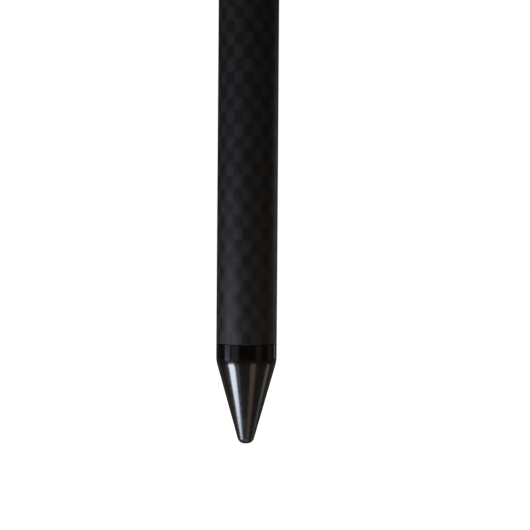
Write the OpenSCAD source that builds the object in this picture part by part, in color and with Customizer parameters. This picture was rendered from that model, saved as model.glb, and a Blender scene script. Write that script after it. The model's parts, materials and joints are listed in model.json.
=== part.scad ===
// Telescoping survey prism pole: carbon outer tube on a steel ground point, a lever clamp
// with a circular level, and a graduated inner tube that ends in a 5/8 inch stud.
// The origin is the middle of the ground point's worn end, and +Z runs up the pole.

/* [Pole] */
// Outside diameter of the outer tube, 1 1/4 inch
pole_od = 31.75; // [31:0.25:32.5]
// Wall of the outer tube
pole_wall = 1.9; // [1.7:0.1:2.1]
// Outside diameter of the inner tube, 1 inch
inner_od = 25.4; // [25:0.1:25.6]
// Wall of the inner tube
inner_wall = 1.6; // [1.2:0.1:1.8]
// Ground point to the seat at the top, with the pole closed
closed_height = 1270; // [1240:5:1500]
// How far the inner tube pulls out
pole_travel = 880; // [780:10:900]

/* [Ground point] */
// Length of the point below the tube
point_length = 52.5; // [48:0.5:60]
// Length of its cone
point_cone = 43.3; // [40:0.1:44]
// Radius of the cone where it would meet the ground
point_nose_r = 3.6; // [3.2:0.1:4]
// Radius of the flat worn on the nose
point_flat_r = 0.8; // [0.6:0.1:1]
// Rounding between cone and collar
point_edge_round = 17; // [8:1:20]
// Radius of the threaded shank
shank_r = 5.95; // [5:0.05:6.5]
// Length of the threaded shank
shank_length = 24; // [18:1:30]

/* [Lock] */
// Outside radius of the lock collar
collar_r = 20.5; // [20:0.1:21]
// Depth of the socket that holds the outer tube
socket_h = 32; // [30:1:36]
// Height of the neck above the tube, where the plunger sits
neck_h = 18; // [18:1:22]
// Height of the clamp ring
ring_h = 28; // [26:1:30]
// Gap between the clamp ears
ear_gap = 2.5; // [2:0.1:3]
// Thickness of one ear
ear_t = 8; // [7:0.5:8]
// Distance of the clamp bolt from the pole's axis
bolt_x = 27; // [27:0.5:29]
// Radius of the cam
cam_r = 6.4; // [6.2:0.1:6.6]
// How far the cam's centre is off its pin
cam_throw = 0.8; // [0.6:0.1:0.9]
// Thickness of the lever's handle
handle_t = 4.5; // [4:0.1:5]
// Angle around the pole at which the handle ends
handle_end = -146; // [-150:1:-130]

/* [Level] */
// Distance of the level from the pole's axis
level_x = 50; // [49:1:56]
// Outside radius of the level's cup
cup_r = 14.5; // [14:0.1:15]
// Radius of the circle of the adjusting screws
level_screw_circle = 10.5; // [10.3:0.1:10.8]

/* [Plunger] */
// Radius of the locating pin
plunger_r = 2.5; // [2.3:0.1:2.5]
// Heights in metres at which the plunger drops into the inner tube
index_heights = [1.5, 1.8, 2.0]; // [1.4:0.1:2.1]

/* [Top] */
// Radius of the 5/8 inch stud
stud_r = 7.9375; // [7.9:0.0125:8]
// Length of the stud above its seat
stud_length = 14; // [12:1:16]
// Radius of the seat
seat_r = 15; // [14:0.5:16]

/* [Hidden] */

eps = 0.01;            // overshoot of a cutting tool
fit = 0.05;            // radial clearance of a glued or screwed joint
run = 0.1;             // radial clearance of a bearing
round_fn = 96;         // circles of the main parts
small_fn = 32;         // circles of the small fasteners

pole_r = pole_od / 2;
pole_bore_r = pole_r - pole_wall;
inner_r = inner_od / 2;
inner_bore_r = inner_r - inner_wall;
bond_r = pole_r - 0.225;           // tube ground down where the collar is glued on

// Heights down from the seat
stud_base_z = closed_height - 25;
stud_shank_r = stud_r - 0.7;
plug_shoulder_h = 7;
plug_neck_h = 6;
plug_flange_h = 6;
flange_z = closed_height - plug_shoulder_h - plug_neck_h - plug_flange_h;
bumper_h = 3;
stop_gap = 0.3;
liner_lip_h = 1.5;
ring_top = flange_z - bumper_h - stop_gap - liner_lip_h;
ring_z = ring_top - ring_h;
slit_h = 2;
neck_top = ring_z - slit_h;
tube_top = neck_top - neck_h;
socket_z = tube_top - socket_h;
bolt_z = ring_top - ring_h / 2;
plunger_z = tube_top + 9.5;
bush_h = 38;
bush_z = tube_top - bush_h;
end_z = bush_z - pole_travel - stop_gap;     // lower end of the inner tube

// Lever clamp
ear_y = ear_gap / 2 + ear_t;
bolt_r = 3;
washer_t = 1.5;
pin_r = 4;
pivot_y = -(ear_y + washer_t + fit + cam_r + cam_throw);
handle_in_r = collar_r + 2.5;

// Level
arm_z = socket_z + 1.8;
arm_t = 4;
pad_x = 24.5;
cup_z = arm_z + arm_t + 2.55;
cup_floor = 5.5;
cup_h = 13;
lens_under_r = 60;     // ball radius of the lens's ground underside
lens_z = cup_z + 11;   // top of its underside
lens_r = 12.1;

// Plunger
boss_r = 7;
boss_y = 30;
plunger_bore_y = 19.2;
plunger_reach = 21;

// ---------- helpers ----------

// Unit vector from point a to point b
function toward(a, b) = (b - a) / norm(b - a);

// Arc that rounds corner b of the path a, b, c
function rounded_corner(a, b, c, r, n = 8) =
    let (
        to_a = toward(b, a),
        to_c = toward(b, c),
        half = acos(to_a * to_c) / 2,
        centre = b + toward([0, 0], to_a + to_c) * r / sin(half),
        from = b + to_a * r / tan(half) - centre,
        to = b + to_c * r / tan(half) - centre,
        turn = acos(from * to / (r * r)) * sign(from.x * to.y - from.y * to.x)
    )
    [for (i = [0 : n])
        let (t = turn * i / n)
        centre + [from.x * cos(t) - from.y * sin(t), from.x * sin(t) + from.y * cos(t)]];

// Rectangle from [x0, y0] to [x1, y1] with rounded corners
function rounded_rectangle(low, high, r, n = 5) =
    let (p = [low, [high.x, low.y], high, [low.x, high.y]])
    [for (i = [0 : 3]) each rounded_corner(p[(i + 3) % 4], p[i], p[(i + 1) % 4], r, n)];

// Section of a plain ring with small chamfers
function ring_section(in_r, out_r, z0, z1, c = 0.3) = [
    [in_r, z0 + c], [in_r + c, z0], [out_r - c, z0], [out_r, z0 + c],
    [out_r, z1 - c], [out_r - c, z1], [in_r + c, z1], [in_r, z1 - c]
];

module revolve(section, fn = round_fn) {
    rotate_extrude($fn = fn) polygon(section);
}

// Round bars along the three axes
module bar_x(x0, x1, y, z, r, fn = small_fn) {
    translate([x0, y, z]) rotate([0, 90, 0]) cylinder(h = x1 - x0, r = r, $fn = fn);
}
module bar_y(x, y0, y1, z, r, fn = small_fn) {
    translate([x, y0, z]) rotate([-90, 0, 0]) cylinder(h = y1 - y0, r = r, $fn = fn);
}
module bar_z(x, y, z0, z1, r, fn = small_fn) {
    translate([x, y, z0]) cylinder(h = z1 - z0, r = r, $fn = fn);
}

// Revolved section whose own axis points along +Y from [x, y, z]
module revolve_y(x, y, z, section, fn = small_fn) {
    translate([x, y, z]) rotate([-90, 0, 0]) rotate_extrude($fn = fn) polygon(section);
}

// Sector of a circle, for cuts made around an axis
module sector(r, from, to, n = 12) {
    polygon(concat([[0, 0]], [for (i = [0 : n]) let (a = from + (to - from) * i / n) r * [cos(a), sin(a)]]));
}

// Round wire wound along +Y about its own axis
module coil_y(mean_r, wire_r, y0, y1, turns, sides = 8, steps = 14) {
    rings = turns * steps;
    rise = (y1 - y0 - 2 * wire_r) / rings;
    points = [for (i = [0 : rings], s = [0 : sides - 1])
        let (a = 360 * i / steps, b = 360 * s / sides, r = mean_r + wire_r * cos(b))
        [r * cos(a), y0 + wire_r + rise * i + wire_r * sin(b), r * sin(a)]];
    walls = [for (i = [0 : rings - 1], s = [0 : sides - 1])
        let (t = (s + 1) % sides)
        [i * sides + s, (i + 1) * sides + s, (i + 1) * sides + t, i * sides + t]];
    ends = [[for (s = [0 : sides - 1]) s], [for (s = [sides - 1 : -1 : 0]) rings * sides + s]];
    polyhedron(points, concat(walls, ends), convexity = 6);
}

// ---------- ground point and outer tube ----------

module ground_point() {
    nose = [point_nose_r, 0];
    edge = [pole_r, point_cone];
    nose_round = (point_nose_r - point_flat_r) / tan((90 - atan2(pole_r - point_nose_r, point_cone)) / 2);
    relief_r = shank_r - 1;
    chamfer = 0.3;
    color([0.07, 0.06, 0.06])
    revolve(concat(
        [[0, 0]],
        rounded_corner([0, 0], nose, edge, nose_round, 10),
        rounded_corner(nose, edge, [pole_r, point_length], point_edge_round, 6),
        [
            [pole_r, point_length - chamfer], [pole_r - chamfer, point_length],
            [relief_r, point_length], [relief_r, point_length + 2], [shank_r, point_length + 3],
            [shank_r, point_length + shank_length - 1], [shank_r - 1, point_length + shank_length],
            [0, point_length + shank_length]
        ]
    ));
}

module point_insert() {
    length = 34;
    out_r = pole_bore_r - fit;
    bore_r = shank_r + run;
    glue_groove = 0.5;
    color("silver")
    translate([0, 0, point_length]) revolve([
        [bore_r + 1, 0], [out_r, 0], [out_r, 8], [out_r - glue_groove, 8.5], [out_r - glue_groove, 12.5],
        [out_r, 13], [out_r, 20], [out_r - glue_groove, 20.5], [out_r - glue_groove, 24.5],
        [out_r, 25], [out_r, length - 2], [out_r - 2, length], [bore_r, length], [bore_r, 1]
    ]);
}

module outer_tube() {
    color([0.11, 0.11, 0.12])
    revolve([
        [pole_bore_r, point_length], [pole_r, point_length], [pole_r, socket_z],
        [bond_r, socket_z], [bond_r, tube_top], [pole_bore_r, tube_top]
    ]);
}

module top_bush() {
    color([0.85, 0.84, 0.8])
    revolve(ring_section(inner_r + run, pole_bore_r - fit, bush_z, tube_top));
}

// ---------- lock collar and lever clamp ----------

module ears() {
    outline = rounded_rectangle([inner_r + 3, ring_z], [bolt_x + 8, ring_top], 5);
    translate([0, ear_y, 0]) rotate([90, 0, 0]) linear_extrude(2 * ear_y) polygon(outline);
}

module lock_collar() {
    chamfer = 0.8;
    groove = 0.6;
    grooves = [for (i = [0 : 4]) socket_z + 16 + 3.2 * i];
    color([0.09, 0.09, 0.1])
    difference() {
        union() {
            revolve(concat(
                [
                    [pole_bore_r - 1, socket_z], [collar_r - 1.5, socket_z], [collar_r - groove, socket_z + chamfer],
                    [collar_r - groove, socket_z + 5], [collar_r, socket_z + 5 + groove]
                ],
                [for (z = grooves) each [
                    [collar_r, z - 1], [collar_r - groove, z - 1 + groove],
                    [collar_r - groove, z + 1 - groove], [collar_r, z + 1]
                ]],
                [[collar_r, ring_top - chamfer], [collar_r - chamfer, ring_top], [pole_bore_r - 1, ring_top]]
            ));
            ears();
            // pad for the level's arm
            translate([-pad_x, -9, socket_z + 4]) cube([pad_x - inner_r - 4, 18, 26]);
            bar_y(0, inner_r + 3, boss_y, plunger_z, boss_r, round_fn);
        }
        // socket for the outer tube, neck and liner seat
        bar_z(0, 0, socket_z - eps, tube_top, bond_r + fit, round_fn);
        bar_z(0, 0, tube_top - eps, neck_top + eps, inner_r + 0.6, round_fn);
        bar_z(0, 0, neck_top, ring_top + eps, inner_r + run + 1.4, round_fn);
        // slit that frees the clamp ring, apart from a web opposite the ears
        translate([0, 0, neck_top]) linear_extrude(slit_h) sector(bolt_x + 20, -130, 130, 8);
        translate([0, -ear_gap / 2, neck_top - eps]) cube([bolt_x + 20, ear_gap, ring_h + slit_h + 2 * eps]);
        bar_y(bolt_x, -ear_y - eps, ear_y + eps, bolt_z, bolt_r + run);
        // plunger's hole and threaded seat
        bar_y(0, 0, plunger_bore_y + eps, plunger_z, plunger_r + 0.2);
        bar_y(0, plunger_bore_y, boss_y + eps, plunger_z, 4.6);
        for (z = arm_screw_z()) bar_x(-pad_x - eps, -pad_x + 7, 0, z, 2);
        for (a = grub_angles()) rotate([0, 0, a]) bar_x(bond_r, collar_r + 2, 0, socket_z + 10, 2.05);
    }
}

function arm_screw_z() = [socket_z + 11, socket_z + 24];
function grub_angles() = [-120, 0, 120];

module collar_grub_screws() {
    color([0.2, 0.2, 0.21])
    for (a = grub_angles()) rotate([0, 0, a]) difference() {
        bar_x(bond_r + 0.02, collar_r - 0.2, 0, socket_z + 10, 2);
        bar_x(collar_r - 2.2, collar_r, 0, socket_z + 10, 1.15, 6);
    }
}

module clamp_liner() {
    in_r = inner_r + run;
    out_r = in_r + 1.35;
    slot = 1.5;
    color([0.86, 0.85, 0.8])
    difference() {
        revolve([
            [in_r + 0.3, neck_top], [out_r, neck_top], [out_r, ring_top], [out_r + 3, ring_top],
            [out_r + 3, ring_top + 1.1], [out_r + 2.6, ring_top + liner_lip_h],
            [in_r + 0.4, ring_top + liner_lip_h], [in_r, ring_top + 1.1], [in_r, neck_top + 0.3]
        ]);
        translate([0, -slot / 2, neck_top - 1]) cube([collar_r, slot, ring_h + slit_h + 4]);
    }
}

module clamp_bolt() {
    color("silver")
    difference() {
        bar_y(bolt_x, pivot_y - 2.4, ear_y + washer_t + 9.5, bolt_z, bolt_r);
        // hexagon socket in the free end
        bar_y(bolt_x, ear_y + washer_t + 7, ear_y + washer_t + 12, bolt_z, 1.7, 6);
    }
}

module lever_pin() {
    half = ring_h / 2 + 0.6;
    color("silver")
    difference() {
        translate([bolt_x, pivot_y, 0]) revolve([
            [0, bolt_z - half], [pin_r - 0.6, bolt_z - half], [pin_r, bolt_z - half + 0.6],
            [pin_r, bolt_z + half - 0.6], [pin_r - 0.6, bolt_z + half], [0, bolt_z + half]
        ], 48);
        bar_y(bolt_x, pivot_y - pin_r - 1, pivot_y + pin_r + 1, bolt_z, bolt_r + fit);
    }
}

module cam_washer() {
    outline = rounded_rectangle([bolt_x - 8, ring_z + 1.5], [bolt_x + 7.5, ring_top - 1.5], 3);
    color([0.72, 0.55, 0.28])
    difference() {
        translate([0, -ear_y, 0]) rotate([90, 0, 0]) linear_extrude(washer_t) polygon(outline);
        bar_y(bolt_x, -ear_y - washer_t - 1, -ear_y + 1, bolt_z, bolt_r + 0.2);
    }
}

module nut_washer() {
    color("silver")
    revolve_y(bolt_x, ear_y, bolt_z, ring_section(bolt_r + 0.2, 6.6, 0, washer_t - 0.1, 0.2));
}

// Plan of the handle: a band around the collar that flares out at its end
function handle_plan() =
    let (
        first = atan2(pivot_y, bolt_x) - 4,
        flare_from = handle_end + 26,
        out_r = handle_in_r + handle_t,
        angles = [for (i = [0 : 24]) first + (handle_end - first) * i / 24],
        lift = function (a) a > flare_from ? 0 : 4 * pow((flare_from - a) / 26, 2)
    )
    concat(
        [for (a = angles) (handle_in_r + lift(a)) * [cos(a), sin(a)]],
        [for (i = [24 : -1 : 0]) let (a = angles[i]) (out_r + lift(a)) * [cos(a), sin(a)]]
    );

module cam_lever() {
    cheek = ring_h - 1;
    handle_h = ring_h - 6;
    color([0.75, 0.1, 0.08])
    difference() {
        union() {
            translate([0, 0, bolt_z - handle_h / 2]) linear_extrude(handle_h) polygon(handle_plan());
            // web between the cam and the handle
            translate([0, 0, bolt_z - handle_h / 2]) linear_extrude(handle_h) polygon([
                [bolt_x - 1, pivot_y - cam_r + cam_throw + 0.4], [bolt_x - 4, pivot_y + 3.2],
                handle_in_r * [cos(-38), sin(-38)] + [0.1, 0], (handle_in_r + handle_t) * [cos(-52), sin(-52)]
            ]);
            bar_z(bolt_x, pivot_y + cam_throw, bolt_z - cheek / 2, bolt_z + cheek / 2, cam_r, 64);
        }
        bar_z(bolt_x, pivot_y, bolt_z - ring_h, bolt_z + ring_h, pin_r + fit, 64);
        // room for the bolt as the lever swings
        translate([bolt_x, pivot_y, bolt_z - bolt_r - 0.6])
            linear_extrude(2 * bolt_r + 1.2) sector(cam_r + 4, -74, 142, 12);
    }
}

module adjust_nut() {
    nut_r = 8;
    length = 8;
    grips = 14;
    color([0.12, 0.12, 0.13])
    difference() {
        revolve_y(bolt_x, ear_y + washer_t, bolt_z, [
            [bolt_r + fit, 0], [nut_r - 2, 0], [nut_r - 1.5, 1.2], [nut_r - 0.5, 1.6], [nut_r, 2.1],
            [nut_r, length - 0.8], [nut_r - 0.8, length], [bolt_r + 1.2, length], [bolt_r + fit, length - 1.1]
        ], 56);
        for (i = [0 : grips - 1]) translate([bolt_x, 0, bolt_z]) rotate([0, 360 * i / grips, 0])
            bar_y(nut_r + 0.5, ear_y + washer_t + 1.4, ear_y + washer_t + length + 1, 0, 1.1, 16);
    }
}

// ---------- circular level ----------

// Places its children at the adjusting screws
module at_level_screws() {
    for (i = [0 : 2]) translate([-level_x, 0, 0]) rotate([0, 0, 60 + 120 * i])
        translate([level_screw_circle, 0, 0]) children();
}

module level_arm() {
    back_x = pad_x + arm_t;
    color([0.1, 0.1, 0.11])
    difference() {
        union() {
            translate([-level_x, 0, arm_z]) cylinder(h = arm_t, r = cup_r + 1.5, $fn = round_fn);
            translate([-level_x, -9, arm_z]) cube([level_x - pad_x, 18, arm_t]);
            translate([-pad_x, -9, 0]) rotate([90, 0, -90]) linear_extrude(arm_t)
                polygon(rounded_rectangle([-18, arm_z], [0, socket_z + 30], 1.5));
            // ribs in the corner
            for (y = [-9, 7]) translate([0, y + 2, 0]) rotate([90, 0, 0]) linear_extrude(2)
                polygon([[-back_x - 5, arm_z + arm_t], [-back_x + 0.5, arm_z + arm_t], [-back_x + 0.5, arm_z + 20],
                    [-back_x, arm_z + 20]]);
        }
        for (z = arm_screw_z()) bar_x(-back_x - 1, -pad_x + 1, 0, z, 2.2);
        at_level_screws() bar_z(0, 0, arm_z - 1, arm_z + arm_t + 1, 1.65);
    }
}

module level_arm_screws() {
    head_x = -pad_x - arm_t;
    color([0.25, 0.25, 0.26])
    for (z = arm_screw_z()) difference() {
        union() {
            bar_x(head_x, -pad_x + 6.5, 0, z, 1.95);
            bar_x(head_x - 3, head_x, 0, z, 3.4);
        }
        bar_x(head_x - 4, head_x - 1, 0, z, 1.5, 6);
    }
}

module level_adjust_screws() {
    head_h = 2.4;
    color("silver")
    at_level_screws() difference() {
        union() {
            bar_z(0, 0, arm_z - head_h, arm_z, 2.7);
            bar_z(0, 0, arm_z - eps, cup_z + 3.6, 1.45);
        }
        // cross slot
        for (a = [0, 90]) rotate([0, 0, a]) translate([-2, -0.35, arm_z - head_h - 1]) cube([4, 0.7, 2.2]);
    }
}

module level_o_ring() {
    wire_r = 1.26;
    color([0.06, 0.06, 0.06])
    translate([-level_x, 0, arm_z + arm_t + wire_r + 0.01])
        rotate_extrude($fn = 64) translate([6.6, 0]) circle(r = wire_r, $fn = 24);
}

module level_cup() {
    top = cup_z + cup_h;
    color([0.08, 0.08, 0.09])
    difference() {
        translate([-level_x, 0, 0]) revolve([
            [0, cup_z], [cup_r - 1, cup_z], [cup_r, cup_z + 1], [cup_r, top - 5], [cup_r - 0.7, top - 4.4],
            [cup_r - 0.7, top - 3.6], [cup_r, top - 3], [cup_r, top - 0.7], [cup_r - 0.7, top],
            [lens_r + 0.6, top], [lens_r + fit, top - 0.5], [lens_r + fit, cup_z + cup_floor], [0, cup_z + cup_floor]
        ]);
        at_level_screws() bar_z(0, 0, cup_z - eps, cup_z + 4, 1.5);
    }
}

// Height of the lens's ground underside at radius r
function lens_under(r) = lens_z - lens_under_r + sqrt(lens_under_r * lens_under_r - r * r);
bubble_r = 3.6;
bubble_h = 1.3;

module level_fluid() {
    out_r = lens_r - 0.2;
    floor_z = cup_z + cup_floor + 0.02;
    steps = 4;
    color([0.75, 0.85, 0.2, 0.6])
    translate([-level_x, 0, 0]) revolve(concat(
        [[0, floor_z], [out_r, floor_z]],
        [for (i = [0 : steps]) let (r = out_r + (bubble_r - out_r) * i / steps) [r, lens_under(r) - 0.03]],
        [for (i = [1 : 4]) [bubble_r * cos(22.5 * i), lens_under(bubble_r) - 0.2 - bubble_h * sin(22.5 * i)]]
    ), 64);
}

module level_bubble() {
    gap = 0.02;
    color([0.95, 0.98, 0.9, 0.4])
    translate([-level_x, 0, 0]) revolve(concat(
        [for (i = [0 : 2]) let (r = (bubble_r - gap) * i / 2) [r, lens_under(r) - 0.03]],
        [for (i = [1 : 4]) [(bubble_r - gap) * cos(22.5 * i),
            lens_under(bubble_r) - 0.2 + gap - (bubble_h - gap) * sin(22.5 * i)]]
    ), 48);
}

module level_lens() {
    top_edge = cup_z + cup_h + 0.2;
    dome = 1.3;
    steps = 6;
    color([0.8, 0.9, 0.85, 0.35])
    translate([-level_x, 0, 0]) revolve(concat(
        [for (i = [0 : steps]) let (r = lens_r * i / steps) [r, lens_under(r)]],
        [for (i = [steps : -1 : 0]) let (r = lens_r * i / steps)
            [r, top_edge + dome * (1 - pow(i / steps, 2))]]
    ), 64);
}

// ---------- index plunger ----------

module plunger_body() {
    hex_h = 4;
    color("silver")
    difference() {
        union() {
            bar_y(0, plunger_bore_y + 0.1, boss_y, plunger_z, 4.5);
            bar_y(0, boss_y, boss_y + hex_h, plunger_z, 6.6, 6);
        }
        bar_y(0, plunger_bore_y, boss_y + 1, plunger_z, 3.6);
        bar_y(0, boss_y, boss_y + hex_h + 1, plunger_z, plunger_r + run);
    }
}

module plunger_spring() {
    color([0.6, 0.6, 0.62])
    translate([0, 0, plunger_z]) coil_y(3.08, 0.36, plunger_reach + 0.02, boss_y + 0.95, 6);
}

module plunger_pin() {
    tip_y = inner_r + 0.15;
    color([0.7, 0.7, 0.72])
    revolve_y(0, 0, plunger_z, [
        [0, tip_y], [plunger_r - 0.7, tip_y], [plunger_r, tip_y + 1.2], [plunger_r, plunger_bore_y + 0.3],
        [3.4, plunger_bore_y + 0.3], [3.4, plunger_reach], [plunger_r, plunger_reach],
        [plunger_r, boss_y + 12], [0, boss_y + 12]
    ]);
}

module plunger_knob() {
    knob_z0 = boss_y + 4.4;
    knob_z1 = boss_y + 14.5;
    knob_r = 7.5;
    color([0.05, 0.05, 0.05])
    revolve_y(0, 0, plunger_z, [
        [plunger_r, knob_z0], [4.4, knob_z0], [4.4, knob_z0 + 2.6], [knob_r - 0.8, knob_z0 + 4.2], [knob_r, knob_z0 + 5.2],
        [knob_r, knob_z1 - 1.6], [knob_r - 0.7, knob_z1 - 0.6], [knob_r - 2.2, knob_z1], [0, knob_z1],
        [0, boss_y + 12], [plunger_r, boss_y + 12]
    ], 48);
}

// ---------- inner tube ----------

module wear_ring() {
    slot = 2;
    color([0.9, 0.9, 0.86])
    difference() {
        revolve(ring_section(inner_r - 0.6, pole_bore_r - 0.05, end_z - 10.8, end_z - 3.2));
        translate([0, -slot / 2, end_z - 12]) cube([pole_r, slot, 10]);
    }
}

module end_plug() {
    flange_r = pole_bore_r - 0.375;
    groove_r = inner_r - 0.7;
    color([0.15, 0.15, 0.16])
    revolve([
        [5, end_z - 14], [flange_r - 0.5, end_z - 14], [flange_r, end_z - 13.5], [flange_r, end_z - 11],
        [groove_r, end_z - 11], [groove_r, end_z - 3], [flange_r, end_z - 3], [flange_r, end_z],
        [inner_bore_r - fit, end_z], [inner_bore_r - fit, end_z + 24], [inner_bore_r - 1, end_z + 25], [5, end_z + 25]
    ]);
}

module inner_tube() {
    color([0.13, 0.13, 0.14])
    difference() {
        revolve([[inner_bore_r, end_z], [inner_r, end_z], [inner_r, flange_z], [inner_bore_r, flange_z]]);
        for (h = index_heights)
            bar_y(0, 0, inner_r + 1, plunger_z - (h * 1000 - closed_height), plunger_r + 0.2);
    }
}

module bumper_ring() {
    color([0.05, 0.05, 0.05])
    revolve(ring_section(inner_r + fit, inner_r + 3.6, flange_z - bumper_h, flange_z, 0.5));
}

module top_plug() {
    flange_r = 17;
    neck_r = 13;
    spigot_r = inner_bore_r - fit;
    neck_z = flange_z + plug_flange_h;
    shoulder_z = closed_height - plug_shoulder_h;
    color([0.1, 0.1, 0.11])
    difference() {
        revolve([
            [5, flange_z - 34], [spigot_r - 1, flange_z - 34], [spigot_r, flange_z - 33],
            [spigot_r, flange_z], [flange_r - 0.6, flange_z], [flange_r, flange_z + 0.6],
            [flange_r, neck_z - 0.8], [flange_r - 0.8, neck_z], [neck_r, neck_z], [neck_r, shoulder_z],
            [seat_r - 0.5, shoulder_z], [seat_r, shoulder_z + 0.5], [seat_r, closed_height - 0.5],
            [seat_r - 0.5, closed_height], [stud_r + 0.4, closed_height],
            [stud_shank_r + fit, closed_height - 1], [stud_shank_r + fit, stud_base_z], [5, stud_base_z]
        ]);
        // spanner flats on the neck
        for (side = [0, 180]) rotate([0, 0, side]) translate([-20, 11.5, neck_z]) cube([40, 10, plug_neck_h]);
        bar_x(-flange_r - 1, flange_r + 1, 0, flange_z + 3, 1.55);
    }
}

module top_stud() {
    top = closed_height + stud_length;
    lead = 1.2;
    color([0.78, 0.6, 0.3])
    difference() {
        revolve([
            [0, stud_base_z + 0.1], [stud_shank_r - 1, stud_base_z + 0.1], [stud_shank_r, stud_base_z + 1.1],
            [stud_shank_r, closed_height], [stud_r, closed_height],
            [stud_r, top - lead], [stud_r - lead, top], [0, top]
        ]);
        bar_x(-stud_r, stud_r, 0, flange_z + 3, 1.55);
    }
}

module top_cross_pin() {
    color("silver") bar_x(-16.6, 16.6, 0, flange_z + 3, 1.5);
}

ground_point();
point_insert();
outer_tube();
top_bush();
lock_collar();
collar_grub_screws();
clamp_liner();
clamp_bolt();
lever_pin();
cam_washer();
nut_washer();
cam_lever();
adjust_nut();
level_arm();
level_arm_screws();
level_adjust_screws();
level_o_ring();
level_cup();
level_fluid();
level_bubble();
level_lens();
plunger_body();
plunger_spring();
plunger_pin();
plunger_knob();
wear_ring();
end_plug();
inner_tube();
bumper_ring();
top_plug();
top_stud();
top_cross_pin();
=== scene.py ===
# %% [markdown]
# # A telescoping prism pole
#
# A surveyor's prism pole is two carbon-fibre tubes, one inside the other. The outer tube stands
# on a polished black point, a lever clamp at its top grips the inner tube, and the inner tube
# carries a brass stud for the prism. Every measured part comes from the CAD frame, in metres.
# This script adds what the CAD leaves plain: fine round meshes, threads, ribs, printed marks,
# and a procedural finish for every surface.

# %% Load the frame
import json
import math

import bmesh
import bpy
from mathutils import Matrix, Vector

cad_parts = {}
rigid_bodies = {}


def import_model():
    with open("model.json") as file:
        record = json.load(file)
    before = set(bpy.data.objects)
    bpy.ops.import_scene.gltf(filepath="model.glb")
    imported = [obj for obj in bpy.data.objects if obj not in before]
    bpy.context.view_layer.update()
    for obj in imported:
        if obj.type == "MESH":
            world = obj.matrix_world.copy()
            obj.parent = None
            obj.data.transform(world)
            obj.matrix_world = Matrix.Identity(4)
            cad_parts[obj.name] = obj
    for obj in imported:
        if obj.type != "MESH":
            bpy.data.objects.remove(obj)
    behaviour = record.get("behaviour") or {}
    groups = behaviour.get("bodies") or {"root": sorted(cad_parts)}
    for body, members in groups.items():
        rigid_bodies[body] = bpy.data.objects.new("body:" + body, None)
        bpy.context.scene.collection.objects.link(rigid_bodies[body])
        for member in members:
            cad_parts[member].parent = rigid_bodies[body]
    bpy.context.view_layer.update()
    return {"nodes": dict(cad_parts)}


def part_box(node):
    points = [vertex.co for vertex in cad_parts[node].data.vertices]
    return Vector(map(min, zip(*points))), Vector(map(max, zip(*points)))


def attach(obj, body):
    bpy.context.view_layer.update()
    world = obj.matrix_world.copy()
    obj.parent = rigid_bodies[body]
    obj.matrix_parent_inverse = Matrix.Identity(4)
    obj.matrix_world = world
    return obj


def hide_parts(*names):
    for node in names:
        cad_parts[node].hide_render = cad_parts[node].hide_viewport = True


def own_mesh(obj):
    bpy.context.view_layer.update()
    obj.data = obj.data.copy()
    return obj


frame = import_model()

nodes = frame["nodes"]

# %% [markdown]
# ## The camera
#
# The view is a close look at the foot of the pole, through a long lens from a little under 70 cm
# away, almost level with the floor. A long lens keeps the tube's sides parallel. The camera stands
# a little to the right and is rolled by less than half a degree, so the pole leans by that much.

# %% Camera
EYE = Vector((0.0094, -0.682, 0.0936))
EYE_ROLL = math.radians(0.41)
LENS_MM = 88.3
SENSOR_MM = 36.0

camera = bpy.data.objects.new("camera", bpy.data.cameras.new("camera"))
camera.data.lens = LENS_MM
camera.data.sensor_width = SENSOR_MM
camera.data.clip_start = 0.01
camera.data.clip_end = 100.0
level_gaze = Matrix.Rotation(math.radians(90), 4, "X")
camera.matrix_world = Matrix.Translation(EYE) @ level_gaze @ Matrix.Rotation(EYE_ROLL, 4, "Z")
bpy.context.collection.objects.link(camera)
bpy.context.scene.camera = camera
print(f"camera {EYE.length:.2f} m from the point")

# %% [markdown]
# ## One way to add a node
#
# Materials and Geometry Nodes are both trees of nodes, so one small function serves them all: it
# makes a node, sets its properties, and fills its inputs. An input takes a plain value, another
# node's socket, or another node, which stands for that node's first output.
#
# Colours are written as the sRGB hex values that a painter would mix, and one function turns
# them to the linear values that the renderer adds up. Every finish starts with one Principled
# shader and one Texture Coordinate node, which all of its patterns share.

# %% Node and colour helpers
def fill(tree, node, inputs):
    """Fills a node's inputs. A dict names them, and a list takes them in order."""
    named = inputs.items() if isinstance(inputs, dict) else enumerate(inputs)
    for key, value in named:
        socket = node.inputs[key] if isinstance(key, int) else first_shown(node.inputs, key)
        if isinstance(value, bpy.types.Node):
            value = first_shown(value.outputs)
        if isinstance(value, bpy.types.NodeSocket):
            tree.links.new(value, socket)
        else:
            socket.default_value = value


def first_shown(sockets, name=None):
    """The first socket in use, of that name where one is given."""
    return next(s for s in sockets if s.enabled and name in (None, s.name))


def add(tree, kind, inputs=(), **settings):
    """Adds a node with its settings and its links."""
    node = tree.nodes.new(kind)
    for name, value in settings.items():
        setattr(node, name, value)
    fill(tree, node, inputs)
    return node


def colour(hex_code):
    """An sRGB hex colour as linear RGBA."""
    channels = [int(hex_code[i:i + 2], 16) / 255 for i in (1, 3, 5)]
    return [c / 12.92 if c <= 0.04045 else ((c + 0.055) / 1.055) ** 2.4 for c in channels] + [1.0]


def finish(name, base, roughness, **sockets):
    """Starts a material. Returns the material, its tree and its Principled shader."""
    material = bpy.data.materials.new(name)
    material.use_nodes = True
    material.diffuse_color = colour(base)
    tree = material.node_tree
    shader = tree.nodes["Principled BSDF"]
    fill(tree, shader, {"Base Color": colour(base), "Roughness": roughness})
    fill(tree, shader, {label.replace("_", " "): value for label, value in sockets.items()})
    add(tree, "ShaderNodeTexCoord")
    return material, tree, shader


print("sRGB #808080 is", [round(c, 3) for c in colour("#808080")[:3]], "in linear light")

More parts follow.
